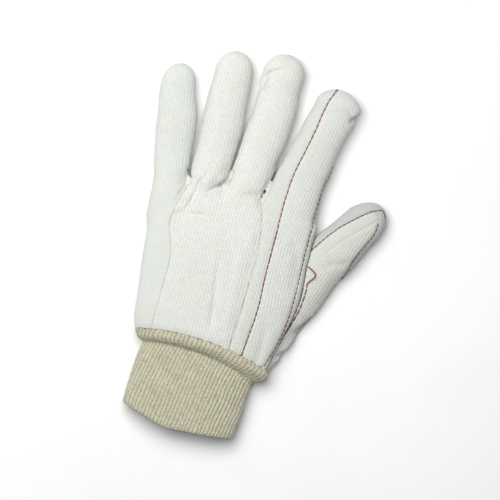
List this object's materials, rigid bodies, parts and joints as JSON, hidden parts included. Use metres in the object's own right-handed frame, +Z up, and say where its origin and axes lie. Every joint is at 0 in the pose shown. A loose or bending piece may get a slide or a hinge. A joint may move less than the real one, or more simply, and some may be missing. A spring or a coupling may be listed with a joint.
{
  "type": "cotton work glove",
  "caption": "Left-hand white cotton work glove with a beige rib-knit wrist, sewn from panels and hollow, lying palm down with the back of the hand up.",
  "frame": {"origin": "middle of the glove in plan, on the surface that it lies on", "axes": "+Y from the wrist to the fingertips, +X towards the thumb, +Z up out of the back of the hand"},
  "size_m": [0.181, 0.2814, 0.0271],
  "materials": {
    "palm_cloth": "napped white cotton with a fine lengthwise cord",
    "back_cloth": "white corded cotton, cords running along the fingers",
    "thumb_cloth": "white corded cotton, cords running along the thumb",
    "cuff_knit": "beige rib knit"
  },
  "bodies": {
    "root": {"palm_panel": "palm_cloth", "back_panel_little": "back_cloth", "back_panel_centre": "back_cloth", "back_panel_index": "back_cloth", "index_wrap_panel": "back_cloth", "thumb_back_panel": "thumb_cloth", "thumb_palm_panel": "thumb_cloth", "knit_cuff": "cuff_knit"}
  },
  "joints": []
}
